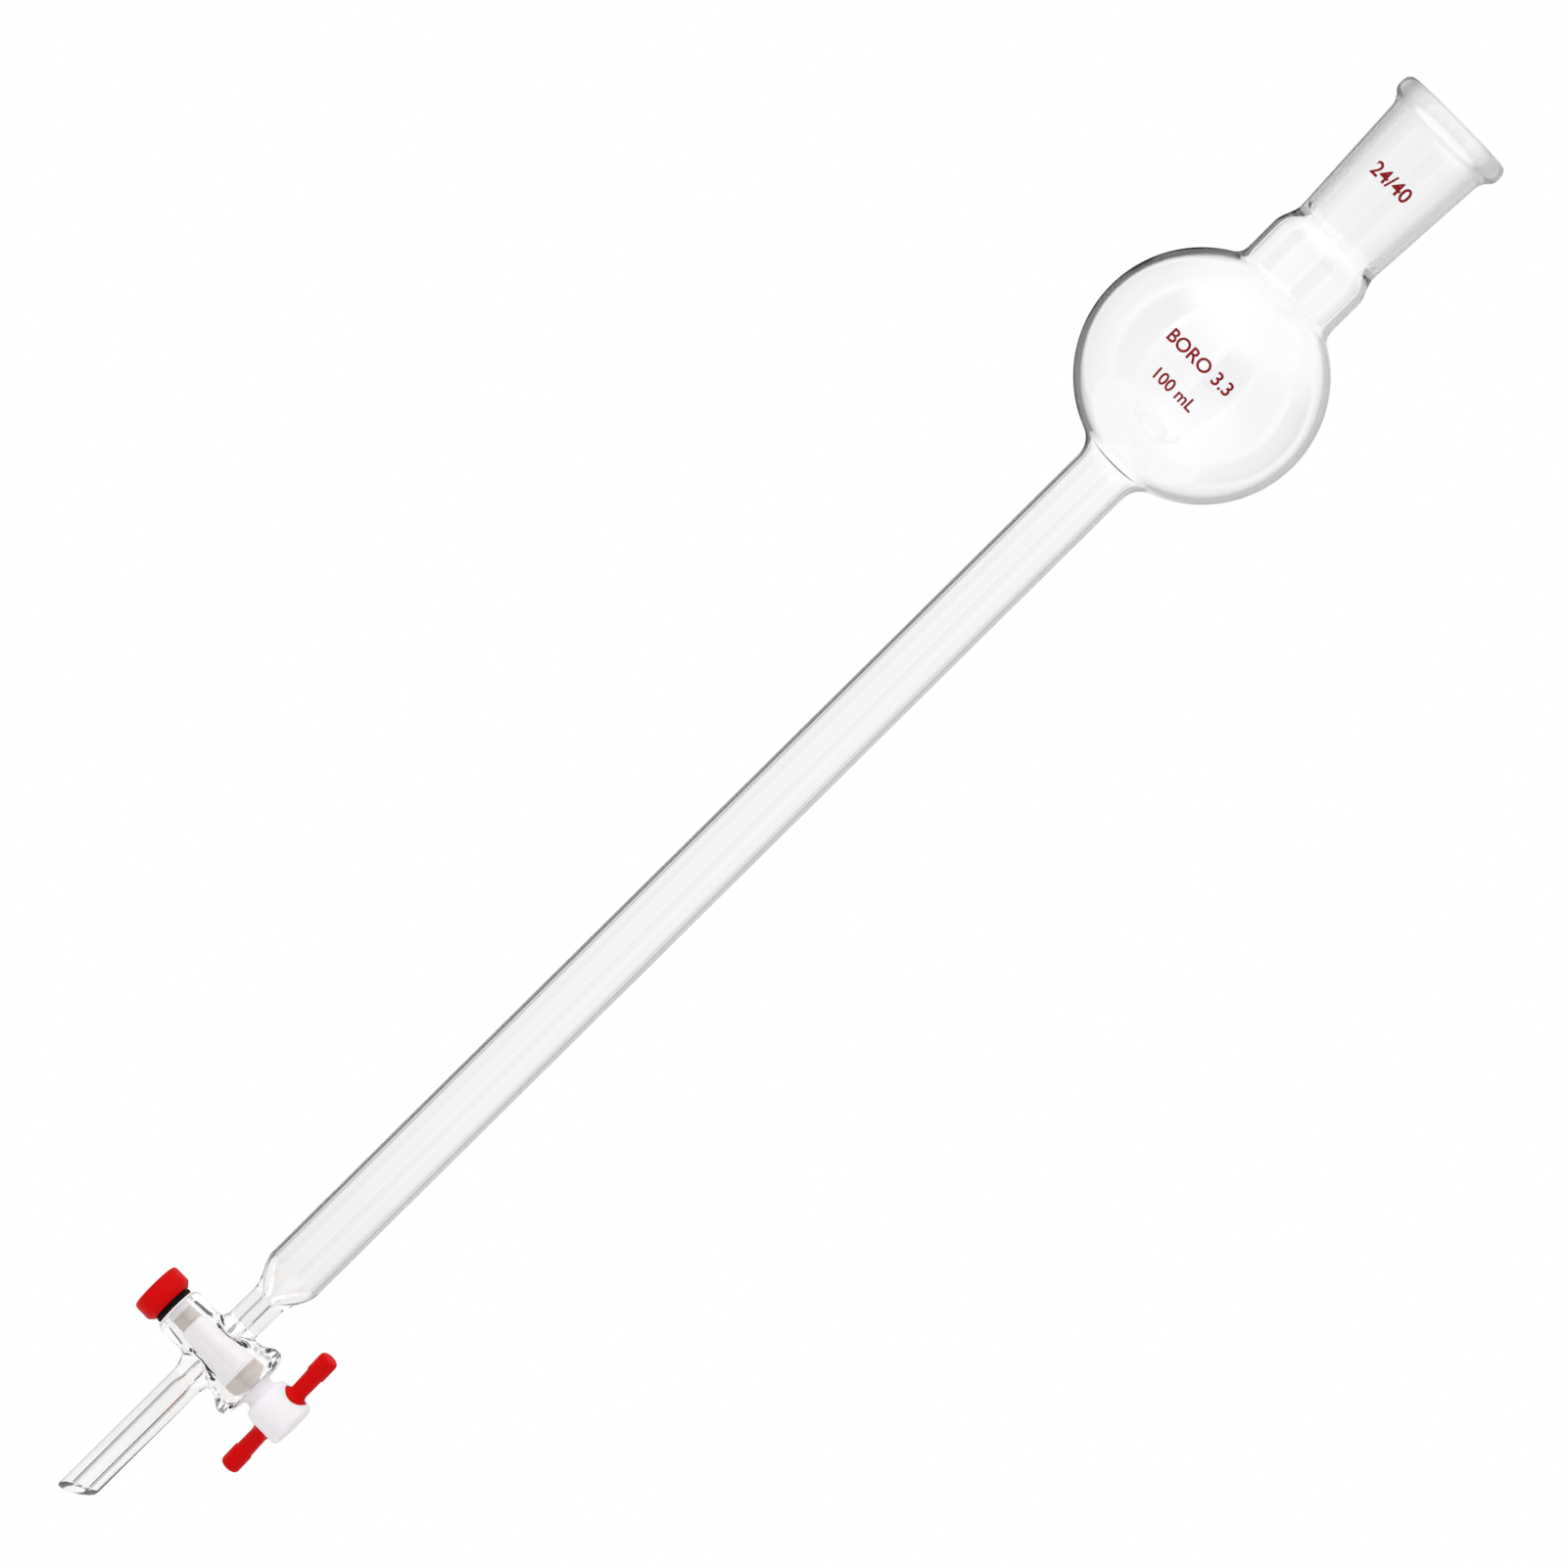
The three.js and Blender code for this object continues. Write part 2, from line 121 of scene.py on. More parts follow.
# Plug and its fittings.
PLUG_RADIUS = 4.45
PLUG_TAPER = 0.1
HEAD_START = 16.2
HEAD_RADIUS = 6.55
HUB_RADIUS = 3.28
CROSS_BORE = 1
THREAD_PITCH = 1.5
THREAD_ROOT = 2.1
THREAD_CREST = 2.8
STUB_FLAT = 1.9
THREAD_START = STUB_END + 0.9
PLUG_STEPS = 96
GROOVES = ((-12.6, -8.9), (9.2, 12.8))


def handle_lean():
    """How far the handle is turned about the stopcock's axis, from its farthest point."""
    bar = frame["nodes"]["handle_bar"].data.vertices
    above = [v.co - Vector((v.co.x, 0, STOPCOCK_HEIGHT)) for v in bar if v.co.z > STOPCOCK_HEIGHT]
    tip = max(above, key=lambda offset: offset.length)
    return math.atan2(-tip.y, tip.z)


HANDLE_LEAN = handle_lean()
HANDLE_HALF = 20.0


# Outlines: lists of (radius, distance along the axis)

def curve(start, corner, end, steps=8):
    """A bend that leaves start towards corner and arrives at end."""
    points = []
    for i in range(steps + 1):
        t = i / steps
        weights = ((1 - t) ** 2, 2 * t * (1 - t), t ** 2)
        points.append(tuple(sum(w * p[k] for w, p in zip(weights, (start, corner, end))) for k in (0, 1)))
    return points


def s_curve(start, end, steps=16):
    """A run between two radii that leaves and arrives along the axis."""
    points = []
    for i in range(steps + 1):
        t = i / steps
        ease = t * t * (3 - 2 * t)
        points.append((start[0] + (end[0] - start[0]) * ease, start[1] + (end[1] - start[1]) * t))
    return points


def arc(centre, radius, first, last, steps):
    """Points on a circle between two angles, measured from the outward direction."""
    angles = [first + (last - first) * i / steps for i in range(steps + 1)]
    return [(centre[0] + radius * math.cos(a), centre[1] + radius * math.sin(a)) for a in angles]


def bulb_wall(ball, tube, tube_fillet, neck, neck_fillet):
    """The bulb's section from the tube below it to the neck above it, with both joins rounded."""
    low = -math.acos((tube + tube_fillet) / (ball + tube_fillet))
    high = math.acos((neck + neck_fillet) / (ball + neck_fillet))
    low_centre = (tube + tube_fillet, BULB_CENTRE + (ball + tube_fillet) * math.sin(low))
    high_centre = (neck + neck_fillet, BULB_CENTRE + (ball + neck_fillet) * math.sin(high))
    low_bend = arc(low_centre, tube_fillet, math.pi, math.pi + low, 10)
    high_bend = arc(high_centre, neck_fillet, math.pi + high, math.pi, 8)
    return low_bend + arc((0, BULB_CENTRE), ball, low, high, 72)[1:-1] + high_bend


# Mesh tools

TOLERANCE = 1e-5
MERGE_DISTANCE = 1e-4
SLIVER = 0.0004


def lathe(outline, steps=96, axis="Z"):
    """A closed skin of revolution. The outline runs from axis to axis, or it closes on itself."""
    mesh = bmesh.new()
    corners = [mesh.verts.new((radius, 0, along)) for radius, along in outline]
    edges = [mesh.edges.new(pair) for pair in zip(corners, corners[1:])]
    if outline[0][0] > 0:
        edges.append(mesh.edges.new((corners[-1], corners[0])))
    bmesh.ops.spin(
        mesh, geom=corners + edges, cent=(0, 0, 0), axis=(0, 0, 1), angle=math.tau, steps=steps,
        use_merge=True,
    )
    bmesh.ops.remove_doubles(mesh, verts=mesh.verts, dist=MERGE_DISTANCE)
    if axis == "X":
        bmesh.ops.rotate(mesh, verts=mesh.verts, matrix=Matrix.Rotation(math.pi / 2, 3, "Y"))
    bmesh.ops.recalc_face_normals(mesh, faces=mesh.faces)
    return mesh


def thread(root, crest, root_width, crest_width, start, end):
    """A right-hand helical ridge about X. Its root sits inside the core that it joins or cuts."""
    steps_per_turn = 48
    turns = (end - start) / THREAD_PITCH
    steps = round(turns * steps_per_turn)
    mesh = bmesh.new()
    section = ((root, -root_width), (root, root_width), (crest, crest_width), (crest, -crest_width))
    corners = [mesh.verts.new((start + width / 2, radius, 0)) for radius, width in section]
    first = mesh.faces.new(corners)
    bmesh.ops.spin(
        mesh, geom=[first, *first.edges, *corners], cent=(0, 0, 0), axis=(1, 0, 0),
        dvec=(THREAD_PITCH / steps_per_turn, 0, 0), angle=math.tau * steps / steps_per_turn, steps=steps,
    )
    bmesh.ops.recalc_face_normals(mesh, faces=mesh.faces)
    return mesh


def block(size, centre):
    """A cutting block with its middle at a point."""
    mesh = bmesh.new()
    bmesh.ops.create_cube(mesh, size=1)
    bmesh.ops.scale(mesh, verts=mesh.verts, vec=size)
    bmesh.ops.translate(mesh, verts=mesh.verts, vec=centre)
    return mesh


def loose_object(mesh, name):
    """An object made from a bmesh, which is used up."""
    data = bpy.data.meshes.new(name)
    mesh.to_mesh(data)
    mesh.free()
    made = bpy.data.objects.new(name, data)
    bpy.context.scene.collection.objects.link(made)
    return made


def apply_modifiers(target):
    """Makes the result of an object's modifiers its mesh."""
    finished = target.evaluated_get(bpy.context.evaluated_depsgraph_get())
    target.data = bpy.data.meshes.new_from_object(finished)
    target.modifiers.clear()


def combine(target, mesh, operation):
    """Joins a mesh to an object (UNION) or cuts it away (DIFFERENCE)."""
    tool = loose_object(mesh, "tool")
    boolean = target.modifiers.new("boolean", "BOOLEAN")
    boolean.operation = operation
    boolean.solver = "MANIFOLD"
    boolean.object = tool
    apply_modifiers(target)
    bpy.data.objects.remove(tool)


def clean_slivers(made):
    """Collapses slivers under a micrometre, which cutting leaves, and splits many-sided faces."""
    mesh = bmesh.new()
    mesh.from_mesh(made.data)
    bmesh.ops.dissolve_degenerate(mesh, edges=mesh.edges, dist=SLIVER)
    bmesh.ops.triangulate(mesh, faces=[face for face in mesh.faces if len(face.verts) > 4])
    mesh.to_mesh(made.data)
    mesh.free()


def finish_piece(made, body, material, stands_for=(), lean=0.0, crease=30):
    """Puts a piece in its place in the frame, in metres, with its finish."""
    clean_slivers(made)
    place = Matrix.Translation((0, 0, STOPCOCK_HEIGHT)) @ Matrix.Scale(MM, 4) @ Matrix.Rotation(lean, 4, "X")
    made.data.transform(place)
    made.data.materials.clear()
    made.data.materials.append(material)
    made.data.shade_smooth()
    made.data.set_sharp_from_angle(angle=math.radians(crease))
    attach(made, body)
    if stands_for:
        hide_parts(*stands_for)
    return made


# Shader tools

class Value:
    """A number that varies over a surface. Python's operators on it add the Math nodes."""

    def __init__(self, nodes, socket):
        self.nodes = nodes
        self.socket = socket

    def __add__(self, other):
        return self.nodes.maths("ADD", self, other)

    def __sub__(self, other):
        return self.nodes.maths("SUBTRACT", self, other)

    def __rsub__(self, other):
        return self.nodes.maths("SUBTRACT", other, self)

    def __mul__(self, other):
        return self.nodes.maths("MULTIPLY", self, other)

    def __truediv__(self, other):
        return self.nodes.maths("DIVIDE", self, other)

    __radd__ = __add__
    __rmul__ = __mul__


class Nodes:
    """The node tree of one material or world."""

    def __init__(self, owner):
        owner.use_nodes = True
        self.tree = owner.node_tree
        self.tree.nodes.clear()

    def add(self, kind, settings=None, inputs=None):
        """Any node: its type, its settings, and the values or links of its sockets."""
        node = self.tree.nodes.new(kind)
        for name, value in (settings or {}).items():
            setattr(node, name, value)
        for name, value in (inputs or {}).items():
            if isinstance(value, Value):
                self.tree.links.new(value.socket, node.inputs[name])
            elif isinstance(value, bpy.types.NodeSocket):
                self.tree.links.new(value, node.inputs[name])
            else:
                node.inputs[name].default_value = value
        return node

    def maths(self, operation, *values):
        """A Math node on one or more values."""
        node = self.add("ShaderNodeMath", {"operation": operation}, dict(enumerate(values)))
        return Value(self, node.outputs[0])

    def place(self, scale=(1, 1, 1)):
        """The surface point in the object's own metres, stretched along each axis."""
        point = self.add("ShaderNodeTexCoord").outputs["Object"]
        return self.add("ShaderNodeMapping", None, {"Vector": point, "Scale": scale}).outputs[0]

    def parts(self, vector):
        """The three numbers of a vector."""
        split = self.add("ShaderNodeSeparateXYZ", None, {0: vector})
        return [Value(self, out) for out in split.outputs]

    def noise(self, vector, scale, detail=2.0, roughness=0.5):
        """Soft random variation between 0 and 1."""
        node = self.add(
            "ShaderNodeTexNoise", None,
            {"Vector": vector, "Scale": scale, "Detail": detail, "Roughness": roughness},
        )
        return Value(self, node.outputs[0])

    def step(self, value, low, high):
        """0 below one value and 1 above another, with a smooth run between them."""
        node = self.add(
            "ShaderNodeMapRange", {"interpolation_type": "SMOOTHSTEP"},
            {"Value": value, "From Min": low, "From Max": high},
        )
        return Value(self, node.outputs[0])

    def mix(self, factor, first, second):
        """A colour between two colours."""
        node = self.add("ShaderNodeMix", {"data_type": "RGBA"}, {"Factor": factor})
        for socket, colour in ((node.inputs[6], first), (node.inputs[7], second)):
            if isinstance(colour, bpy.types.NodeSocket):
                self.tree.links.new(colour, socket)
            else:
                socket.default_value = (*colour, 1)
        return node.outputs[2]

    def bump(self, height, distance, strength=1.0, normal=None):
        """A surface normal raised by a height."""
        inputs = {"Height": height, "Distance": distance, "Strength": strength}
        if normal is not None:
            inputs["Normal"] = normal
        return self.add("ShaderNodeBump", None, inputs).outputs[0]

    def finish(self, inputs):
        """The surface shader and the material's output."""
        shader = self.add("ShaderNodeBsdfPrincipled", None, inputs)
        self.add("ShaderNodeOutputMaterial", None, {"Surface": shader.outputs[0]})


def new_material(name):
    """A material and its empty node tree."""
    material = bpy.data.materials.new(name)
    return material, Nodes(material)


# Finishes

def clear_glass():
    """Flame-worked borosilicate: slow ripples, a little greyer low down where it is thick, painted dark shade
    along its edges where they are seen at a slant, ground inside the socket.
    """
    material, nodes = new_material("borosilicate_glass")
    here = nodes.place()
    x, y, z = nodes.parts(here)
    radius = nodes.maths("SQRT", x * x + y * y)
    ground_bottom = STOPCOCK_HEIGHT + (RIM_TOP - SOCKET_DEPTH) * MM
    soft_edge = 0.0004
    in_socket = nodes.step(z, ground_bottom - soft_edge, ground_bottom + soft_edge)
    bore_here = SOCKET_BORE_BOTTOM * MM + (z - ground_bottom) / SOCKET_DEPTH_PER_RADIUS
    ground = in_socket * (1 - nodes.step(radius - bore_here, soft_edge, 2 * soft_edge))
    grain = nodes.noise(here, 9000, 3)
    bulb_bottom = STOPCOCK_HEIGHT + (BULB_CENTRE - BULB_RADIUS) * MM
    blown = nodes.step(z, bulb_bottom - 0.02, bulb_bottom + 0.01)
    facing = Value(nodes, nodes.add("ShaderNodeLayerWeight", None, {"Blend": 0.5}).outputs["Facing"])
    low = nodes.step(z, STOPCOCK_HEIGHT + TAPER_BOTTOM * MM, STOPCOCK_HEIGHT + 0.09)
    body = nodes.mix(low, (0.968, 0.963, 0.952), (0.985, 0.985, 0.983))
    body = nodes.mix(blown, body, (0.997, 0.997, 0.999))
    body = nodes.mix(ground, body, (0.87, 0.862, 0.857))
    # Painted shade: the colour turns near black along edges seen at a slant, standing in for the dark outlines
    # that refraction gives; weaker on the stem than on the tube and bulb.
    edge = nodes.step(facing, 0.7, 1.0) * (0.2 + 0.4 * low)
    glass_tint_and_edge_shade = nodes.mix(edge, body, (0.16, 0.15, 0.15))
    ripples = nodes.noise(here, 60, 1)
    soft = nodes.bump(ripples, 0.0002, 0.4)
    surface = nodes.add("ShaderNodeBsdfPrincipled", None, {
        "Base Color": glass_tint_and_edge_shade,
        "Roughness": ground * (0.34 + 0.1 * grain),
        "Normal": nodes.bump(grain * ground, 0.00002, 0.6, soft),
        "IOR": 1.472,
        "Transmission Weight": 1.0,
    }).outputs[0]
    path = nodes.add("ShaderNodeLightPath")
    light_passes = nodes.add("ShaderNodeBsdfTransparent", None, {"Color": (0.97, 0.97, 0.97, 1)}).outputs[0]
    for ray in ("Is Diffuse Ray", "Is Shadow Ray"):
        sockets = {0: path.outputs[ray], 1: surface, 2: light_passes}
        surface = nodes.add("ShaderNodeMixShader", None, sockets).outputs[0]
    nodes.add("ShaderNodeOutputMaterial", None, {"Surface": surface})
    return material


def white_ptfe():
    """Turned PTFE: waxy white with fine tool rings, and painted brownish shade in the grooves, where the plug
    keeps off the glass.
    """
    material, nodes = new_material("white_ptfe")
    here = nodes.place()
    x = nodes.parts(here)[0]
    cloud = nodes.noise(here, 160, 3)
    rings = nodes.noise(nodes.place((1, 0.02, 0.02)), 5200, 2)
    colour = nodes.mix(cloud, (0.71, 0.685, 0.705), (0.77, 0.745, 0.765))
    in_groove = 0
    for left, right in GROOVES:
        in_groove = in_groove + nodes.step(x, (left - 0.3) * MM, (left + 0.4) * MM) * (
            1 - nodes.step(x, (right - 0.4) * MM, (right + 0.3) * MM)
        )
    # Painted shade: the colour turns brownish grey in the grooves, where the plug stands off the glass.
    painted_groove_shade = nodes.mix(nodes.noise(here, 420, 2), (0.40, 0.35, 0.32), (0.56, 0.51, 0.48))
    colour = nodes.mix(in_groove, colour, painted_groove_shade)
    nodes.finish({
        "Base Color": colour,
        "Roughness": 0.42 + 0.16 * rings,
        "Normal": nodes.bump(rings * 0.6 + cloud, 0.00002, 0.5),
        "IOR": 1.38,
        "Specular IOR Level": 0.3,
        "Subsurface Weight": 0.3,
        "Subsurface Radius": (1.0, 0.9, 1.0),
        "Subsurface Scale": 0.0012,
    })
    return material


def red_plastic():
    """Moulded red plastic with a fine satin grain and slightly paler rubbed spots."""
    material, nodes = new_material("red_plastic")
    here = nodes.place()
    cloud = nodes.noise(here, 240, 3)
    grain = nodes.noise(here, 5200, 2)
    colour = nodes.mix(cloud, (0.50, 0.0008, 0.0012), (0.57, 0.0014, 0.0018))
    nodes.finish({
        "Base Color": colour,
        "Roughness": 0.30 + 0.14 * grain + 0.08 * cloud,
        "Normal": nodes.bump(grain * 0.4 + 1.5 * cloud, 0.00003, 0.2),
        "IOR": 1.49,
        "Specular IOR Level": 0.05,
    })
    return material


def black_rubber():
    """Moulded black rubber, dull, with a little dust."""
    material, nodes = new_material("black_rubber")
    here = nodes.place()
    dust = nodes.noise(here, 900, 4, 0.6)
    colour = nodes.mix(dust, (0.0015, 0.0014, 0.0014), (0.007, 0.0065, 0.0065))
    nodes.finish({
        "Base Color": colour,
        "Roughness": 0.5 + 0.2 * dust,
        "Normal": nodes.bump(dust, 0.00003, 0.3),
        "Specular IOR Level": 0.06,
    })
    return material


def fired_enamel():
    """Dark red marking enamel, a little uneven where it was printed."""
    material, nodes = new_material("fired_enamel")
    here = nodes.place()
    cover = nodes.noise(here, 2600, 4, 0.65)
    colour = nodes.mix(nodes.step(cover, 0.3, 0.7), (0.27, 0.003, 0.008), (0.19, 0.002, 0.006))
    nodes.finish({
        "Base Color": colour,
        "Roughness": 0.42 + 0.25 * cover,
        "Normal": nodes.bump(cover, 0.00002, 0.5),
        "Specular IOR Level": 0.15,
    })
    return material


# Glass body

def outer_skin():
    """The outside of the socket, reservoir, tube, arms and stem, as one solid of revolution."""
    stem_end = TIP_BOTTOM - 6
    peak = (RIM_RADIUS, RIM_TOP - BEAD_PEAK)
    bead_waist = (RIM_RADIUS - 1.1, RIM_TOP - 5.6)
    wall_top = (SOCKET_OUTER_TOP, RIM_TOP - BEAD_HEIGHT - 2.5)
    return lathe([
        (0, stem_end),
        (STEM_RADIUS, stem_end),
        (STEM_RADIUS, -8),
        (ARM_RADIUS, -7),
        *s_curve((ARM_RADIUS, TAPER_BOTTOM), (TUBE_RADIUS, TAPER_TOP), 24),
        *bulb_wall(BULB_RADIUS, TUBE_RADIUS, TUBE_FILLET, NECK_RADIUS, NECK_FILLET),
        *s_curve((NECK_RADIUS, SOCKET_BOTTOM - 7), (SOCKET_OUTER_BOTTOM, SOCKET_BOTTOM + 0.4)),
        *curve(wall_top, (SOCKET_OUTER_TOP + 0.05, RIM_TOP - BEAD_HEIGHT), bead_waist),
        *curve(bead_waist, (RIM_RADIUS, RIM_TOP - 4.7), peak)[1:],
        *curve(peak, (RIM_RADIUS, RIM_TOP), (RIM_RADIUS - 2.2, RIM_TOP), 10)[1:],
        (0, RIM_TOP),
    ], GLASS_STEPS)


def inner_space():
    """The hollow of the socket, reservoir, tube, arms and stem, past both ends."""
    flare = 0.8
    above = RIM_TOP + 3
    neck = NECK_RADIUS - NECK_WALL
    tube = TUBE_RADIUS - TUBE_WALL
    ball = BULB_RADIUS - BULB_WALL
    below = TIP_BOTTOM - 9
    lip = (SOCKET_BORE_TOP + flare, RIM_TOP + 0.01)
    return lathe([
        (0, below),
        (STEM_BORE, below),
        *s_curve((STEM_BORE, -14), (ARM_BORE, -10), 6),
        *s_curve((ARM_BORE, TAPER_BOTTOM - 0.8), (tube, TAPER_TOP + 0.6), 24),
        *bulb_wall(ball, tube, TUBE_FILLET + TUBE_WALL, neck, NECK_FILLET + NECK_WALL),
        *s_curve((neck, SOCKET_BOTTOM - 6.8), (SOCKET_BORE_BOTTOM, RIM_TOP - SOCKET_DEPTH)),
        *curve((SOCKET_BORE_TOP - 0.03, RIM_TOP - flare), (SOCKET_BORE_TOP, RIM_TOP), lip, 5),
        (SOCKET_BORE_TOP + flare, above),
        (0, above),
    ], GLASS_STEPS)


def barrel_skin():
    """The outside of the stopcock barrel: collar, cone that follows the bore, fire-polished bead."""
    collar_edge = 0.9
    collar_face = (COLLAR_RADIUS - collar_edge, BARREL_LEFT)
    collar_corner = (COLLAR_RADIUS, BARREL_LEFT)
    collar_side = (COLLAR_RADIUS, BARREL_LEFT + collar_edge)
    bead_peak = (BEAD_RADIUS, 11.2)
    return lathe([
        (0, BARREL_LEFT),
        *curve(collar_face, collar_corner, collar_side, 5),
        (COLLAR_RADIUS, -9.2),
        *curve((COLLAR_RADIUS, -9.2), (6.4, -8.4), (6.5, -7), 5)[1:],
        (8.35, 6),
        *curve((8.35, 6), (8.5, 7.2), (9.3, 8.6), 6)[1:],
        *curve((9.3, 8.6), (BEAD_RADIUS, 10), bead_peak, 8)[1:],
        *curve(bead_peak, (BEAD_RADIUS, 12.6), (8.3, BARREL_RIGHT), 8)[1:],
        (0, BARREL_RIGHT),
    ], BARREL_STEPS, "X")


def arm_flares():
    """The blown flares where the two arms grow out of the barrel."""
    root = 5.7
    arm, stem = ARM_RADIUS - WELD_INSET, STEM_RADIUS - WELD_INSET
    return lathe([
        (0, -WELD_REACH),
        (stem, -WELD_REACH),
        *s_curve((stem, -11.5), (root, -5)),
        *s_curve((root, 5), (arm, 9.5)),
        (arm, WELD_REACH),
        (0, WELD_REACH),
    ], BARREL_STEPS)


def true_arms(glass):
    """Brings the melted arms back to their exact radius, so that they run on into the drawn tubes."""
    inner, outer = 3.5, 5.5
    end_of_sides = WELD_REACH - 1.5
    blend_start, blend_length = 9.5, 3
    for vertex in glass.data.vertices:
        x, y, z = vertex.co
        radius = math.hypot(x, y)
        if not inner < radius < outer or abs(z) > end_of_sides:
            continue
        arm = (ARM_RADIUS if z > 0 else STEM_RADIUS) - WELD_INSET
        t = min(max((abs(z) - blend_start) / blend_length, 0), 1)
        share = t * t * (3 - 2 * t)
        scale = 1 + share * (arm / radius - 1)
        vertex.co = (x * scale, y * scale, z)


def slant_cut(glass):
    """Cuts the stem off on a slant and closes and fire-polishes the ring that is left."""
    mesh = bmesh.new()
    mesh.from_mesh(glass.data)
    turn = Matrix.Rotation(SLANT_TURN, 3, "Z") @ Matrix.Rotation(-SLANT_TILT, 3, "Y")
    bmesh.ops.bisect_plane(
        mesh, geom=[*mesh.verts, *mesh.edges, *mesh.faces], dist=TOLERANCE,
        plane_co=(0, 0, SLANT_HEIGHT), plane_no=turn @ Vector((0, 0, -1)), clear_outer=True,
    )
    ring = [e for e in mesh.edges if e.is_boundary]
    bmesh.ops.bridge_loops(mesh, edges=ring)
    bmesh.ops.bevel(
        mesh, geom=ring, offset=TIP_POLISH, offset_type="OFFSET", segments=3, profile=0.5, affect="EDGES",
        material=-1, clamp_overlap=True, loop_slide=True,
    )
    bmesh.ops.recalc_face_normals(mesh, faces=mesh.faces)
    mesh.to_mesh(glass.data)
    mesh.free()


def make_glass(material):
    """The welded glass body, as one continuous wall."""
    glass = loose_object(barrel_skin(), "glass_column")
    combine(glass, arm_flares(), "UNION")
    remesh = glass.modifiers.new("melt", "REMESH")
    remesh.mode = "VOXEL"
    remesh.voxel_size = 0.25
    smooth = glass.modifiers.new("flow", "SMOOTH")
    smooth.factor = 0.5
    smooth.iterations = 40
    apply_modifiers(glass)
    true_arms(glass)
    combine(glass, outer_skin(), "UNION")
    combine(glass, inner_space(), "DIFFERENCE")
    running_gap = 0.05
    ends = (BARREL_LEFT - 1, BARREL_RIGHT + 1)
    bore = [(PLUG_RADIUS + running_gap + x * PLUG_TAPER, x) for x in ends]
    combine(glass, lathe([(0, ends[0]), *bore, (0, ends[1])], BARREL_STEPS, "X"), "DIFFERENCE")
    slant_cut(glass)
    stands_for = ("socket_joint", "reservoir_bulb", "column_tube", "stopcock_barrel", "drip_tip")
    return finish_piece(glass, "glass_body", material, stands_for)


# Enamel marks

def mark(words, name, width, centre_height, wall, material):
    """Generic lettering fired onto the front of the glass, wrapped round its wall."""
    half_thickness = 0.01
    lift_off_glass = 0.03
    longest_edge = 0.12
    text = bpy.data.curves.new(name, "FONT")
    text.body = words
    text.align_x = "CENTER"
    text.align_y = "CENTER"
    text.extrude = half_thickness
    text.offset = 0.018
    text.resolution_u = 6
    flat = bpy.data.objects.new(name, text)
    bpy.context.scene.collection.objects.link(flat)
    bpy.context.view_layer.update()
    finished = flat.evaluated_get(bpy.context.evaluated_depsgraph_get())
    data = bpy.data.meshes.new_from_object(finished)
    bpy.data.objects.remove(flat)
    mesh = bmesh.new()
    mesh.from_mesh(data)
    bmesh.ops.remove_doubles(mesh, verts=mesh.verts, dist=TOLERANCE)
    bmesh.ops.triangulate(mesh, faces=mesh.faces)
    long_edges = [e for e in mesh.edges if e.calc_length() > longest_edge]
    bmesh.ops.subdivide_edges(mesh, edges=long_edges, cuts=3, use_grid_fill=True)
    bmesh.ops.triangulate(mesh, faces=mesh.faces)
    size = width / (max(v.co.x for v in mesh.verts) - min(v.co.x for v in mesh.verts))
    for vertex in mesh.verts:
        across, up, thick = vertex.co.x * size, vertex.co.y * size, vertex.co.z
        height = centre_height + up
        radius = wall(height) + lift_off_glass + thick
        angle = across / wall(centre_height)
        vertex.co = (radius * math.sin(angle), -radius * math.cos(angle), height)
    return finish_piece(loose_object(mesh, name), "glass_body", material)


def socket_wall(height):
    """The socket's outside radius at a height."""
    share = (height - SOCKET_BOTTOM) / (RIM_TOP - BEAD_HEIGHT - 1.5 - SOCKET_BOTTOM)
    return SOCKET_OUTER_BOTTOM + (SOCKET_OUTER_TOP - SOCKET_OUTER_BOTTOM) * share


def bulb_skin(height):
    """The bulb's outside radius at a height."""
    return math.sqrt(BULB_RADIUS ** 2 - (height - BULB_CENTRE) ** 2)


# Stopcock pieces

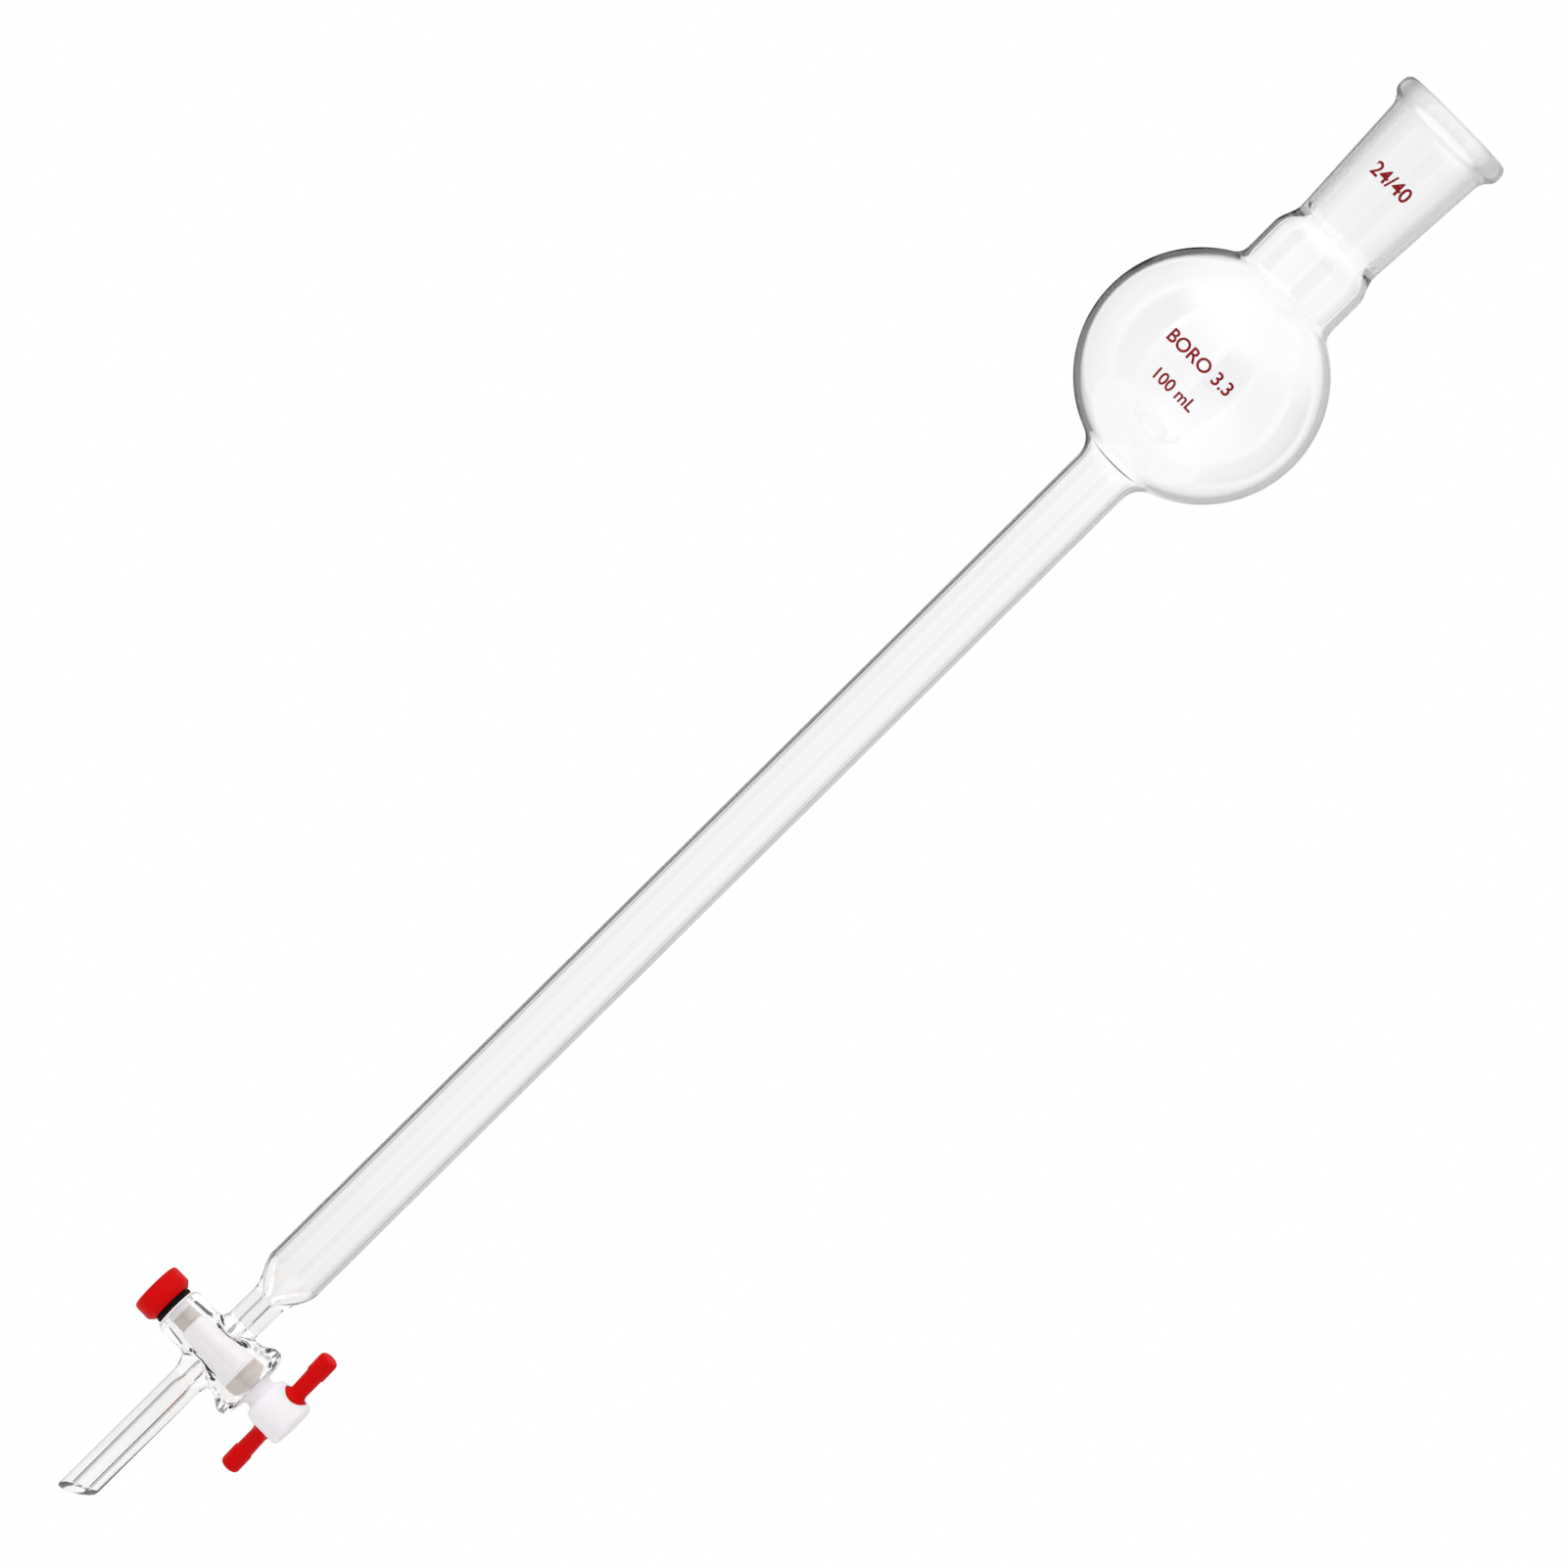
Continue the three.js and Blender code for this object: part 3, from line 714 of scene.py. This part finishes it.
def make_plug(material):
    """The tapered plug, with its cross bore, head, handle hole and flatted, threaded stub."""
    shoulder = WASHER_RIGHT + 0.05
    relief = 0.2

    def taper(x):
        return PLUG_RADIUS + x * PLUG_TAPER

    plug = loose_object(lathe([
        (0, STUB_END),
        (THREAD_ROOT - 0.35, STUB_END),
        (THREAD_ROOT, STUB_END + 0.35),
        (THREAD_ROOT, -16),
        (THREAD_CREST, -15.4),
        (THREAD_CREST, shoulder),
        (taper(shoulder) - 0.15, shoulder),
        (taper(shoulder), shoulder + 0.15),
        *[
            point
            for left, right in GROOVES
            for point in (
                (taper(left), left),
                (taper(left + 0.2) - relief, left + 0.2),
                (taper(right - 0.2) - relief, right - 0.2),
                (taper(right), right),
            )
        ],
        (taper(BARREL_RIGHT), BARREL_RIGHT),
        *curve((4.8, 13.55), (3.7, 14.7), (4.5, HEAD_START - 0.1)),
        *curve((4.7, HEAD_START), (HEAD_RADIUS, HEAD_START), (HEAD_RADIUS, HEAD_START + 3.2)),
        *curve((HEAD_RADIUS, HEAD_END - 1.7), (HEAD_RADIUS, HEAD_END), (HEAD_RADIUS - 1.9, HEAD_END)),
        (0, HEAD_END),
    ], PLUG_STEPS, "X"), "stopcock_plug_turned")
    combine(plug, thread(THREAD_ROOT - 0.3, THREAD_CREST, 1.26, 0.35, THREAD_START, -15.2), "UNION")
    combine(plug, lathe([(0, -7), (CROSS_BORE, -7), (CROSS_BORE, 7), (0, 7)], 48), "DIFFERENCE")
    hole_radius = HUB_RADIUS + 0.03
    hole = lathe([(0, -8), (hole_radius, -8), (hole_radius, 8), (0, 8)], PLUG_STEPS)
    bmesh.ops.translate(hole, verts=hole.verts, vec=(HANDLE_X, 0, 0))
    combine(plug, hole, "DIFFERENCE")
    combine(plug, block((12, 10, 10), (WASHER_RIGHT - 6, 0, STUB_FLAT + 5)), "DIFFERENCE")
    return finish_piece(plug, "plug", material, ["stopcock_plug"], HANDLE_LEAN)


def make_handle(material):
    """The T handle: a hub in the head, a waist at each side, and stepped rounded grips."""
    step = 14.1
    grip = 2.6
    upper = [
        (HUB_RADIUS, HEAD_RADIUS - 1.1),
        *curve((HUB_RADIUS - 0.02, HEAD_RADIUS - 0.35), (2.4, HEAD_RADIUS + 0.1), (2.18, HEAD_RADIUS + 1.4)),
        (2.3, step - 0.6),
        *curve((2.3, step - 0.5), (2.3, step), (grip - 0.05, step), 4),
        (grip, step + 0.2),
        *curve((grip, HANDLE_HALF - 1.3), (grip, HANDLE_HALF), (grip - 1.3, HANDLE_HALF), 10),
        (0, HANDLE_HALF),
    ]
    lower = [(radius, -along) for radius, along in reversed(upper)]
    mesh = lathe(lower + upper, PLUG_STEPS)
    bmesh.ops.translate(mesh, verts=mesh.verts, vec=(HANDLE_X, 0, 0))
    bar = loose_object(mesh, "handle_bar_moulded")
    return finish_piece(bar, "plug", material, ["handle_bar"], HANDLE_LEAN, 50)


def make_washer(material):
    """The flat washer with a D-shaped hole."""
    low, high = WASHER_LEFT, WASHER_RIGHT
    radius = cad("plug_washer")[1].y
    hole_radius = 2.9
    hole_flat = STUB_FLAT + 0.1
    washer = loose_object(lathe([
        (0, low),
        (radius - 0.1, low),
        (radius, low + 0.1),
        (radius, high - 0.1),
        (radius - 0.1, high),
        (0, high),
    ], PLUG_STEPS, "X"), "plug_washer_cut")
    hole = [(0, low - 1), (hole_radius, low - 1), (hole_radius, high + 1), (0, high + 1)]
    opening = loose_object(lathe(hole, 64, "X"), "hole")
    combine(opening, block((10, 10, 10), (low, 0, hole_flat + 5)), "DIFFERENCE")
    mesh = bmesh.new()
    mesh.from_mesh(opening.data)
    bpy.data.objects.remove(opening)
    combine(washer, mesh, "DIFFERENCE")
    return finish_piece(washer, "plug", material, ["plug_washer"], HANDLE_LEAN)


def make_ring(material):
    """The rubber ring, squeezed until its section is nearly square."""
    outer = cad("o_ring")[1].y
    inner = THREAD_CREST + 0.15
    half_width = (RING_RIGHT - RING_LEFT) / 2
    points = 32
    squareness = 0.6
    section = []
    for i in range(points):
        out, along = math.cos(math.tau * i / points), math.sin(math.tau * i / points)
        out, along = (math.copysign(abs(part) ** squareness, part) for part in (out, along))
        radius = (inner + outer) / 2 + (outer - inner) / 2 * out
        section.append((radius, (RING_LEFT + RING_RIGHT) / 2 + half_width * along))
    ring = loose_object(lathe(section, PLUG_STEPS, "X"), "o_ring_moulded")
    return finish_piece(ring, "seal_ring", material, ["o_ring"], HANDLE_LEAN, 60)


def make_nut(material):
    """The retaining nut: a bevelled drum with an inside thread."""
    radius = cad("retaining_nut")[1].y
    bore = THREAD_ROOT + 0.2
    mouth = THREAD_CREST + 0.3
    bevel = NUT_RIGHT - 1.5
    nut = loose_object(lathe([
        (0, NUT_LEFT),
        *curve((radius - 1.0, NUT_LEFT), (radius - 0.15, NUT_LEFT), (radius, NUT_LEFT + 1.0), 6),
        (radius, bevel),
        *curve((radius, bevel), (radius, NUT_RIGHT - 1.2), (radius - 0.25, NUT_RIGHT - 0.95), 3)[1:],
        (radius - 1.15, NUT_RIGHT - 0.1),
        (radius - 1.3, NUT_RIGHT),
        (0, NUT_RIGHT),
    ], BARREL_STEPS, "X"), "retaining_nut_moulded")
    combine(nut, lathe([
        (0, NUT_LEFT - 1),
        (mouth + 1, NUT_LEFT - 1),
        (mouth + 1, NUT_LEFT),
        (bore, NUT_LEFT + 0.9),
        (bore, NUT_RIGHT - 0.8),
        (mouth, NUT_RIGHT),
        (mouth, NUT_RIGHT + 1),
        (0, NUT_RIGHT + 1),
    ], PLUG_STEPS, "X"), "DIFFERENCE")
    start = THREAD_START - 2 * THREAD_PITCH
    groove = thread(THREAD_ROOT, THREAD_CREST + 0.2, 1.3, 0.7, start, NUT_RIGHT + THREAD_PITCH)
    combine(nut, groove, "DIFFERENCE")
    return finish_piece(nut, "nut", material, ["retaining_nut"], HANDLE_LEAN, 40)


# Studio

def make_camera():
    """A long lens looking almost level, rolled so that the column leans to the upper right."""
    azimuth = math.radians(5)
    lean = math.radians(44.694)
    distance = 5.4
    view_width = 0.389
    film_width = 36
    aim = Vector((-0.001, 0, STOPCOCK_HEIGHT + 0.1986))
    back = Vector((math.sin(azimuth), -math.cos(azimuth), 0))
    right = Vector((math.cos(azimuth), math.sin(azimuth), 0))
    up = Vector((0, 0, 1))
    across = up * math.cos(lean) + right * math.sin(lean)
    upright = up * math.sin(lean) - right * math.cos(lean)
    lens = bpy.data.cameras.new("camera")
    lens.lens = film_width * distance / view_width
    lens.clip_start = 0.1
    camera = bpy.data.objects.new("camera", lens)
    turn = Matrix((across, upright, back)).transposed().to_4x4()
    camera.matrix_world = Matrix.Translation(aim + back * distance) @ turn
    bpy.context.scene.collection.objects.link(camera)
    bpy.context.scene.camera = camera


def make_floor():
    """A plain pale disc, a little below the tip."""
    radius = 0.44
    drop = 0.11
    mesh = bmesh.new()
    bmesh.ops.create_circle(mesh, cap_ends=True, segments=96, radius=radius)
    bmesh.ops.translate(mesh, verts=mesh.verts, vec=(0, 0, STOPCOCK_HEIGHT - drop))
    floor = loose_object(mesh, "studio_floor")
    material, nodes = new_material("studio_floor")
    nodes.finish({"Base Color": (0.9, 0.9, 0.9, 1), "Roughness": 0.8})
    floor.data.materials.append(material)


def make_lights():
    """Soft white light from all round, strongest from the upper front.

    Dark cards stand left of the view at every quarter turn. Only light that bounces once inside a
    glass wall or off its skin meets them, so they draw the glass's edges and leave its middle clear.
    Each card has the degrees over which its near edge and then its far edge fade.
    """
    dark_card = ((5, 9), (37, 43))
    grey_card = ((45, 49), (84, 88))
    world = bpy.data.worlds.new("studio")
    bpy.context.scene.world = world
    nodes = Nodes(world)
    x, y, z = nodes.parts(nodes.add("ShaderNodeTexCoord").outputs["Generated"])
    bearing = nodes.maths("ARCTAN2", 0 - x, y)
    turn = nodes.maths("FLOORED_MODULO", bearing, math.tau / 4) * math.degrees(1)
    level = (1 - nodes.step(z, 0.35, 0.75)) * nodes.step(z, -0.9, -0.5)
    dark, grey = (
        nodes.step(turn, *near) * (1 - nodes.step(turn, *far)) * level for near, far in (dark_card, grey_card)
    )
    path = nodes.add("ShaderNodeLightPath").outputs
    bounced = nodes.maths("COMPARE", Value(nodes, path["Glossy Depth"]), 1, 0.5)
    shallow = nodes.maths("LESS_THAN", Value(nodes, path["Transmission Depth"]), 2.5)
    cards = bounced * shallow
    colour = nodes.mix(dark * cards * 0.97, (1.0, 1.0, 1.01), (0.02, 0.02, 0.022))
    colour = nodes.mix(grey * cards * 0.75, colour, (0.42, 0.40, 0.40))
    below = nodes.step(0 - z, -0.3, 0.9)
    colour = nodes.mix(below * 0.55, colour, (0.5, 0.5, 0.5))
    key = nodes.step(x * -0.45 - y * 0.62 + z * 0.64, 0.6, 0.98)
    seen = Value(nodes, path["Is Camera Ray"])
    colour = nodes.mix(seen, colour, (1, 1, 1))
    strength = 1 + 0.9 * key * (1 - seen)
    background = nodes.add("ShaderNodeBackground", None, {"Color": colour, "Strength": strength})
    nodes.add("ShaderNodeOutputWorld", None, {"Surface": background.outputs[0]})


bpy.context.scene.view_settings.view_transform = "Standard"
make_camera()
make_lights()
make_floor()
glass_finish = clear_glass()
ptfe_finish = white_ptfe()
red_finish = red_plastic()
enamel_finish = fired_enamel()
make_glass(glass_finish)
mark("24/40", "mark_joint_size", width=12.4, centre_height=410, wall=socket_wall, material=enamel_finish)
mark("BORO 3.3", "mark_glass_type", width=21.3, centre_height=344.6, wall=bulb_skin, material=enamel_finish)
mark("100 mL", "mark_capacity", width=13, centre_height=335.3, wall=bulb_skin, material=enamel_finish)
make_plug(ptfe_finish)
make_handle(red_finish)
make_washer(ptfe_finish)
make_ring(black_rubber())
make_nut(red_finish)
